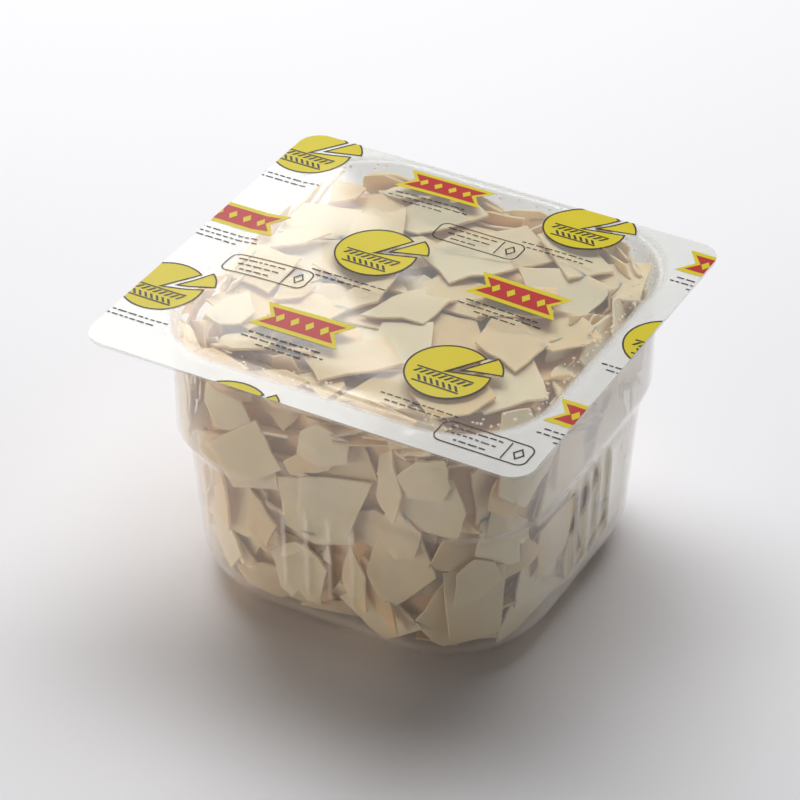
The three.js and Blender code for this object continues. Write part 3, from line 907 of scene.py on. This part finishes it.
def dash_rows(rows, x=0):
    """Rows of fine dashes of uneven length, each centred on its place."""
    marks = []
    for y, width in rows:
        left = x - width / 2
        while left < x + width / 2 - 1:
            length = min(draw.uniform(*DASH_LENGTHS), x + width / 2 - left)
            marks.append(plate(box_points(length, DASH_HEIGHT, left + length / 2, y)))
            left += length + DASH_GAP
    return marks


def put(pieces, turn, x, y):
    """Turns flat pieces about their own middle and moves them to their place."""
    for piece in pieces:
        piece.data.transform(Matrix.Translation(Vector((x, y, 0)) * MM) @ Matrix.Rotation(turn, 4, "Z"))
    return pieces


inks = {"yellow": [], "red": [], "dark": [], "yellow_top": []}
deselect_all()
for row in range(-2, 3):
    for column in range(-2, 3):
        x = REPEAT_AT[0] + column * REPEAT_X
        y = REPEAT_AT[1] + row * REPEAT_Y
        if max(abs(x) - FLANGE_HALF_X, abs(y) - FLANGE_HALF_Y) > RIBBON[0]:
            continue
        if (row + column) % 2 == 0:
            turn = math.radians(WHEEL_TURN)
            inks["yellow"] += put([plate(points) for points in wheel_parts()], turn, x, y)
            lines = [keep_band(plate(points), *WHEEL_LINE) for points in wheel_parts()]
            inks["dark"] += put(lines, turn, x, y)
            marks = [plate(box_points(width, BAR_HEIGHT, 0, level)) for width, level in WHEEL_BARS]
            for level, beside, lean in STROKE_ROWS:
                marks += [stroke(STROKE_PITCH * k, level, lean) for k in range(-beside, beside + 1)]
            inks["dark"] += put(marks, 0, x, y)
            inks["dark"] += put(dash_rows(WHEEL_DASHES), 0, x, y)
        else:
            width, height = RIBBON
            inner = ribbon_points(width - RIBBON_EDGE[0], height - RIBBON_EDGE[1], INNER_NOTCH)
            inks["yellow"] += put([plate(ribbon_points(width, height, RIBBON_NOTCH))], 0, x, y)
            inks["red"] += put([plate(inner)], 0, x, y)
            row_of_four = [lozenge(LOZENGE_PITCH * k, *RIBBON_LOZENGE) for k in (-1.5, -0.5, 0.5, 1.5)]
            inks["yellow_top"] += put(row_of_four, 0, x, y)
            inks["dark"] += put(dash_rows(RIBBON_DASHES), 0, x, y)
        if (row - column) % 3 == 0:
            width, shorter, beside = DIVIDER
            marks = [keep_band(round_corners(plate(box_points(*FRAME)), FRAME_ROUND), 0, FRAME_LINE)]
            marks.append(plate(box_points(width, FRAME[1] - shorter, beside)))
            marks.append(keep_band(lozenge(*FRAME_LOZENGE), 0, LOZENGE_LINE))
            marks += dash_rows(FRAME_DASHES, FRAME_DASHES_AT)
            inks["dark"] += put(marks, 0, x + REPEAT_X / 2, y + REPEAT_Y / 2 - FRAME_DROP)


def print_ink(name, colour, cover):
    """Printing ink, thin and glossy: a little of what lies under the film shows through."""
    material, tree = new_material(name)
    clear = add_node(tree, "BsdfTransparent", None, {"Color": linear(colour)})
    body = add_node(tree, "BsdfPrincipled", None, {
        "Base Color": linear(colour), "Roughness": 0.3})
    mixed = add_node(tree, "MixShader", None, {0: cover, 1: clear.outputs[0], 2: body.outputs[0]})
    add_node(tree, "OutputMaterial", None, {"Surface": mixed.outputs[0]})
    return material


def print_on_film(name, marks, level, material):
    """Stands the marks up as a cutter and keeps what of a thin ink layer lies in it."""
    cutter = join_pieces(marks, "cutter")
    bpy.ops.object.mode_set(mode="EDIT")
    bpy.ops.mesh.select_all(action="SELECT")
    bpy.ops.mesh.extrude_region_move(TRANSFORM_OT_translate={"value": (0, 0, CUTTER_DEPTH * MM)})
    bpy.ops.mesh.select_all(action="SELECT")
    bpy.ops.mesh.normals_make_consistent(inside=False)
    bpy.ops.object.mode_set(mode="OBJECT")
    cutter.data.transform(Matrix.Translation((0, 0, (FLANGE_TOP - CUTTER_DEPTH / 3) * MM)))
    layer = film_sheet(name, FILM_THICK + INK_STEP * level)
    apply_modifier(layer, "SOLIDIFY", thickness=INK_THICK * MM, offset=1)
    apply_modifier(layer, "BOOLEAN", operation="INTERSECT", solver="MANIFOLD", object=cutter)
    bpy.data.objects.remove(cutter)
    layer.data.materials.clear()
    layer.data.materials.append(material)
    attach(layer, "root")
    return layer


# film inks: full, flat colours with sharp edges, the yellow the thinnest
yellow_ink = print_ink("yellow_film_ink", "#e3d21c", 0.8)
red_ink = print_ink("red_film_ink", "#b80f12", 0.9)
dark_ink = print_ink("dark_film_ink", "#2b2717", 0.88)
print_on_film("print_yellow", inks["yellow"], 1, yellow_ink)
print_on_film("print_red", inks["red"], 2, red_ink)
print_on_film("print_dark", inks["dark"], 3, dark_ink)
print_on_film("print_yellow_marks", inks["yellow_top"], 3, yellow_ink)

# ---- Floor, light and camera -----------------------------------------------------------
# A plain white table in a pale room: a wide soft light overhead and behind, a smaller one
# behind on the left whose glare lies on the film, and two long low fills at the sides.

FLOOR_SIZE = 2.2
FLOOR_DROP = 0.0002  # metres, so that the tub's base doesn't lie in the floor
ROOM_SEEN = 0.55  # how bright the room is where it is seen or mirrored
ROOM_LIGHT = 0.015  # and as a light

deselect_all()
bpy.ops.mesh.primitive_plane_add(size=FLOOR_SIZE, location=(0, 0, -FLOOR_DROP))
floor = bpy.context.object
floor.name = "floor"
# white laminate: matt, with hardly any sheen
paper, tree = new_material("white_table")
surface = add_node(tree, "BsdfPrincipled", None, {
    "Base Color": linear("#f0f0f3"), "Roughness": 0.8, "Specular IOR Level": 0.1})
add_node(tree, "OutputMaterial", None, {"Surface": surface.outputs[0]})
floor.data.materials.append(paper)


def soft_light(name, place, aim, size, watts, colour="#ffffff"):
    """A soft box that lights and is mirrored, but doesn't show to the camera."""
    light = bpy.data.lights.new(name, "AREA")
    light.shape = "RECTANGLE"
    light.size, light.size_y = size
    light.energy = watts
    light.color = linear(colour)[:3]
    lamp = bpy.data.objects.new(name, light)
    lamp.visible_camera = False
    lamp.location = place
    lamp.rotation_euler = (Vector(aim) - Vector(place)).to_track_quat("-Z", "Y").to_euler()
    bpy.context.collection.objects.link(lamp)


soft_light("overhead", (-0.27, 0.52, 1.4), (-0.12, 0.22, 0), size=(1.6, 0.75), watts=23)
soft_light("window", (-0.868, 0.728, 0.823), (0, 0, 0.1), size=(0.75, 0.6), watts=3.2)
soft_light("left_fill", (-1.2, -0.95, 0.052), (0, 0, 0.052), (1.8, 0.1), 18, "#fff0e0")
soft_light("right_fill", (1.5, 0.2, 0.052), (0, 0, 0.052), size=(1.6, 0.1), watts=4.5)

# the room is pale where it is seen or mirrored, but gives hardly any light of its own
world = bpy.data.worlds.new("studio")
world.use_nodes = True
bpy.context.scene.world = world
sky = world.node_tree
lit = add_node(sky, "LightPath").outputs["Is Diffuse Ray"]
strength = add_node(sky, "MapRange", None, {
    "Value": lit, "To Min": ROOM_SEEN, "To Max": ROOM_LIGHT})
sky.links.new(strength.outputs[0], sky.nodes["Background"].inputs["Strength"])
sky.nodes["Background"].inputs["Color"].default_value = linear("#fafafc")
bpy.context.scene.view_settings.view_transform = "Standard"

CAMERA_PLACE = (439.42, -799.25, 720.77)
CAMERA_DOWN = 35.59
CAMERA_TURN = 28.99
LENS = 137.63
LENS_WIDTH = 36.0
lens = bpy.data.cameras.new("camera")
lens.lens = LENS
lens.sensor_width = LENS_WIDTH
camera = bpy.data.objects.new("camera", lens)
camera.location = Vector(CAMERA_PLACE) * MM
camera.rotation_euler = (math.radians(90 - CAMERA_DOWN), 0, math.radians(CAMERA_TURN))
bpy.context.collection.objects.link(camera)
bpy.context.scene.camera = camera
